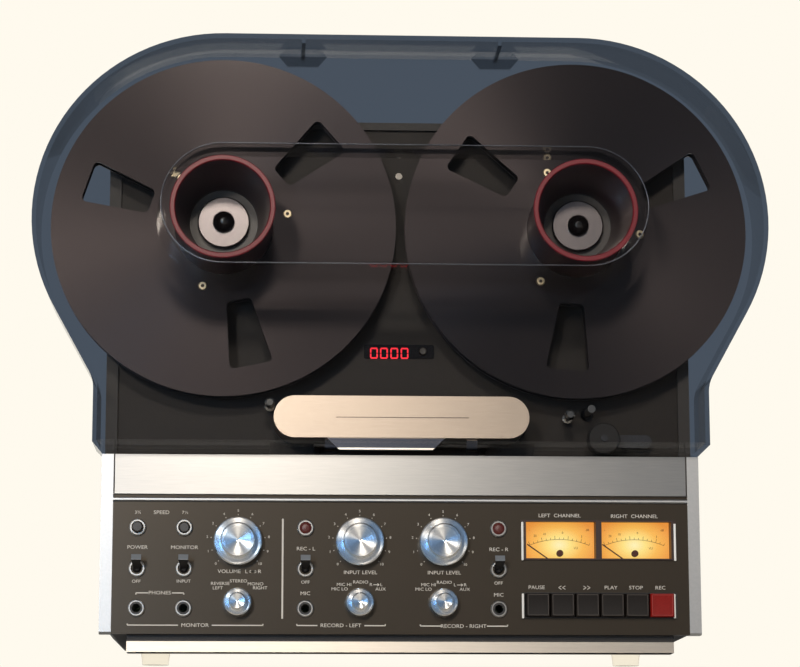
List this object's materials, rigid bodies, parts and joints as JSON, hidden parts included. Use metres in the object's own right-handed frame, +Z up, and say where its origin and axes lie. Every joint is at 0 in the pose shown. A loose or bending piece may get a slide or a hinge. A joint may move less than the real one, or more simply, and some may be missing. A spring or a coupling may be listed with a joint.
{
  "type": "reel-to-reel tape recorder",
  "caption": "Upright reel-to-reel tape recorder: two large open reels on a dark deck under a clear smoked dust cover, over a control console with knobs, meters and keys.",
  "frame": {"origin": "on the surface the machine stands on, under the middle of its bounding box", "axes": "+Z is up, the control panel faces -Y, +X is to the right seen from the front"},
  "size_m": [0.563, 0.256, 0.473],
  "materials": {
    "cabinet_black": "fine textured, satin black-brown",
    "rear_black": "matt black paint",
    "deck_grey": "fine leather-grain texture, matt",
    "panel_grey": "matt dark grey-brown paint",
    "brushed_aluminium": "brushed along its length, satin",
    "bright_aluminium": "bright anodised",
    "foot_aluminium": "satin anodised",
    "chassis_metal": "bare cast, matt",
    "motor_steel": "dark plated",
    "board_green": "lacquered board",
    "head_black": "matt black",
    "head_metal": "lapped, satin",
    "post_metal": "polished",
    "window_black": "dark tinted, glossy",
    "button_black": "satin black",
    "ring_metal": "bright turned",
    "lamp_red": "clear red lens",
    "dial_amber": "lit from behind",
    "meter_glass": "clear, flat",
    "needle_dark": "matt",
    "key_black": "satin moulded",
    "key_red": "satin moulded",
    "knob_aluminium": "spun face, turned edge",
    "lever_black": "satin black, grey end",
    "turntable_dark": "black anodised",
    "reel_brown": "brown anodised, satin",
    "adapter_red": "red moulded rim, dark inside",
    "lock_silver": "satin turned",
    "roller_rubber": "ground rubber",
    "head_cover_silver": "satin anodised",
    "smoked_acrylic": "clear smoke-blue, polished"
  },
  "bodies": {
    "deck": {"cabinet": "cabinet_black", "rear_cover": "rear_black", "feet": "foot_aluminium", "chassis_plate": "chassis_metal", "deck_plate": "deck_grey", "control_panel": "panel_grey", "brushed_strip": "brushed_aluminium", "silver_trims": "bright_aluminium", "drive_motors": "motor_steel", "electronics": "board_green", "head_block": "head_black", "tape_heads": "head_metal", "tape_guides": "post_metal", "counter_window": "window_black", "panel_rings": "ring_metal", "jack_sockets": "ring_metal", "record_lamps": "lamp_red", "meter_housing": "head_black", "meter_dials": "dial_amber", "meter_windows": "meter_glass", "key_frame": "head_black"},
    "left_reel": {"left_turntable": "turntable_dark", "left_reel_hub": "reel_brown", "left_reel_flanges": "reel_brown", "left_adapter": "adapter_red"},
    "left_lock": {"left_adapter_lock": "lock_silver"},
    "right_reel": {"right_turntable": "turntable_dark", "right_reel_hub": "reel_brown", "right_reel_flanges": "reel_brown", "right_adapter": "adapter_red"},
    "right_lock": {"right_adapter_lock": "lock_silver"},
    "capstan": {"capstan": "post_metal"},
    "pinch_arm": {"pinch_arm": "head_metal"},
    "pinch_roller": {"pinch_roller": "roller_rubber"},
    "volume_knob": {"volume_knob": "knob_aluminium"},
    "volume_cap": {"volume_cap": "knob_aluminium"},
    "left_level_knob": {"left_level_knob": "knob_aluminium"},
    "left_level_cap": {"left_level_cap": "knob_aluminium"},
    "right_level_knob": {"right_level_knob": "knob_aluminium"},
    "right_level_cap": {"right_level_cap": "knob_aluminium"},
    "monitor_selector": {"monitor_selector": "knob_aluminium"},
    "left_selector": {"left_selector": "knob_aluminium"},
    "right_selector": {"right_selector": "knob_aluminium"},
    "power_toggle": {"power_toggle": "lever_black"},
    "monitor_toggle": {"monitor_toggle": "lever_black"},
    "left_record_toggle": {"left_record_toggle": "lever_black"},
    "right_record_toggle": {"right_record_toggle": "lever_black"},
    "slow_button": {"slow_button": "button_black"},
    "fast_button": {"fast_button": "button_black"},
    "pause_key": {"pause_key": "key_black"},
    "rewind_key": {"rewind_key": "key_black"},
    "forward_key": {"forward_key": "key_black"},
    "play_key": {"play_key": "key_black"},
    "stop_key": {"stop_key": "key_black"},
    "record_key": {"record_key": "key_red"},
    "counter_reset": {"counter_reset": "button_black"},
    "left_needle": {"left_needle": "needle_dark"},
    "right_needle": {"right_needle": "needle_dark"},
    "head_cover": {"head_cover": "head_cover_silver"},
    "dust_cover": {"dust_cover": "smoked_acrylic"}
  },
  "joints": [
    {"name": "left_reel_spin", "type": "hinge", "parent": "deck", "child": "left_reel", "pos_m": [-0.1365, -0.042, 0.328], "axis": [0, 1, 0], "continuous": true},
    {"name": "left_lock_turn", "type": "hinge", "parent": "left_reel", "child": "left_lock", "pos_m": [-0.1365, -0.062, 0.328], "axis": [0, 1, 0], "range_deg": [0, 60]},
    {"name": "right_reel_spin", "type": "hinge", "parent": "deck", "child": "right_reel", "pos_m": [0.1365, -0.042, 0.328], "axis": [0, 1, 0], "continuous": true},
    {"name": "right_lock_turn", "type": "hinge", "parent": "right_reel", "child": "right_lock", "pos_m": [0.1365, -0.062, 0.328], "axis": [0, 1, 0], "range_deg": [0, 60]},
    {"name": "capstan_spin", "type": "hinge", "parent": "deck", "child": "capstan", "pos_m": [0.146, -0.042, 0.186], "axis": [0, 1, 0], "continuous": true},
    {"name": "pinch_swing", "type": "hinge", "parent": "deck", "child": "pinch_arm", "pos_m": [0.19, -0.026, 0.164], "axis": [0, 1, 0], "range_deg": [0, 22]},
    {"name": "pinch_roller_spin", "type": "hinge", "parent": "pinch_arm", "child": "pinch_roller", "pos_m": [0.156, -0.042, 0.164], "axis": [0, 1, 0], "continuous": true},
    {"name": "volume_knob_turn", "type": "hinge", "parent": "deck", "child": "volume_knob", "pos_m": [-0.12304, -0.062, 0.08199], "axis": [0, 1, 0], "range_deg": [0, 270]},
    {"name": "volume_cap_turn", "type": "hinge", "parent": "deck", "child": "volume_cap", "pos_m": [-0.12304, -0.074, 0.08199], "axis": [0, 1, 0], "range_deg": [0, 270]},
    {"name": "left_level_knob_turn", "type": "hinge", "parent": "deck", "child": "left_level_knob", "pos_m": [-0.03168, -0.062, 0.08199], "axis": [0, 1, 0], "range_deg": [-92, 178]},
    {"name": "left_level_cap_turn", "type": "hinge", "parent": "deck", "child": "left_level_cap", "pos_m": [-0.03168, -0.074, 0.08199], "axis": [0, 1, 0], "range_deg": [-92, 178]},
    {"name": "right_level_knob_turn", "type": "hinge", "parent": "deck", "child": "right_level_knob", "pos_m": [0.03125, -0.062, 0.08199], "axis": [0, 1, 0], "range_deg": [-92, 178]},
    {"name": "right_level_cap_turn", "type": "hinge", "parent": "deck", "child": "right_level_cap", "pos_m": [0.03125, -0.074, 0.08199], "axis": [0, 1, 0], "range_deg": [-92, 178]},
    {"name": "monitor_selector_turn", "type": "hinge", "parent": "deck", "child": "monitor_selector", "pos_m": [-0.12304, -0.07, 0.03649], "axis": [0, 1, 0], "range_deg": [-46, 46]},
    {"name": "left_selector_turn", "type": "hinge", "parent": "deck", "child": "left_selector", "pos_m": [-0.03168, -0.07, 0.03649], "axis": [0, 1, 0], "range_deg": [-92, 0]},
    {"name": "right_selector_turn", "type": "hinge", "parent": "deck", "child": "right_selector", "pos_m": [0.03125, -0.07, 0.03649], "axis": [0, 1, 0], "range_deg": [0, 92]},
    {"name": "power_toggle_tip", "type": "hinge", "parent": "deck", "child": "power_toggle", "pos_m": [-0.19834, -0.061, 0.06173], "axis": [1, 0, 0], "range_deg": [0, 50]},
    {"name": "monitor_toggle_tip", "type": "hinge", "parent": "deck", "child": "monitor_toggle", "pos_m": [-0.1634, -0.061, 0.06173], "axis": [1, 0, 0], "range_deg": [0, 50]},
    {"name": "left_record_toggle_tip", "type": "hinge", "parent": "deck", "child": "left_record_toggle", "pos_m": [-0.07248, -0.061, 0.06173], "axis": [1, 0, 0], "range_deg": [0, 50]},
    {"name": "right_record_toggle_tip", "type": "hinge", "parent": "deck", "child": "right_record_toggle", "pos_m": [0.07291, -0.061, 0.06173], "axis": [1, 0, 0], "range_deg": [0, 50]},
    {"name": "slow_button_press", "type": "slide", "parent": "deck", "child": "slow_button", "axis": [0, 1, 0], "range_m": [0, 0.0035]},
    {"name": "fast_button_press", "type": "slide", "parent": "deck", "child": "fast_button", "axis": [0, 1, 0], "range_m": [-0.0035, 0]},
    {"name": "pause_key_press", "type": "slide", "parent": "deck", "child": "pause_key", "axis": [0, 1, 0], "range_m": [0, 0.003], "stiffness_N_per_m": 200},
    {"name": "rewind_key_press", "type": "slide", "parent": "deck", "child": "rewind_key", "axis": [0, 1, 0], "range_m": [0, 0.003], "stiffness_N_per_m": 200},
    {"name": "forward_key_press", "type": "slide", "parent": "deck", "child": "forward_key", "axis": [0, 1, 0], "range_m": [0, 0.003], "stiffness_N_per_m": 200},
    {"name": "play_key_press", "type": "slide", "parent": "deck", "child": "play_key", "axis": [0, 1, 0], "range_m": [0, 0.003], "stiffness_N_per_m": 200},
    {"name": "stop_key_press", "type": "slide", "parent": "deck", "child": "stop_key", "axis": [0, 1, 0], "range_m": [0, 0.003], "stiffness_N_per_m": 200},
    {"name": "record_key_press", "type": "slide", "parent": "deck", "child": "record_key", "axis": [0, 1, 0], "range_m": [0, 0.003], "stiffness_N_per_m": 200},
    {"name": "counter_reset_press", "type": "slide", "parent": "deck", "child": "counter_reset", "axis": [0, 1, 0], "range_m": [0, 0.0015], "stiffness_N_per_m": 100},
    {"name": "left_needle_swing", "type": "hinge", "parent": "deck", "child": "left_needle", "pos_m": [0.12023, -0.055, 0.06428], "axis": [0, 1, 0], "range_deg": [0, 100], "stiffness_Nm_per_rad": 0.0005},
    {"name": "right_needle_swing", "type": "hinge", "parent": "deck", "child": "right_needle", "pos_m": [0.17749, -0.055, 0.06428], "axis": [0, 1, 0], "range_deg": [0, 100], "stiffness_Nm_per_rad": 0.0005},
    {"name": "head_cover_fold", "type": "hinge", "parent": "deck", "child": "head_cover", "pos_m": [0, -0.052, 0.157], "axis": [1, 0, 0], "range_deg": [0, 13]},
    {"name": "dust_cover_lift", "type": "slide", "parent": "deck", "child": "dust_cover", "axis": [0, -1, 0], "range_m": [0, 0.12]}
  ]
}
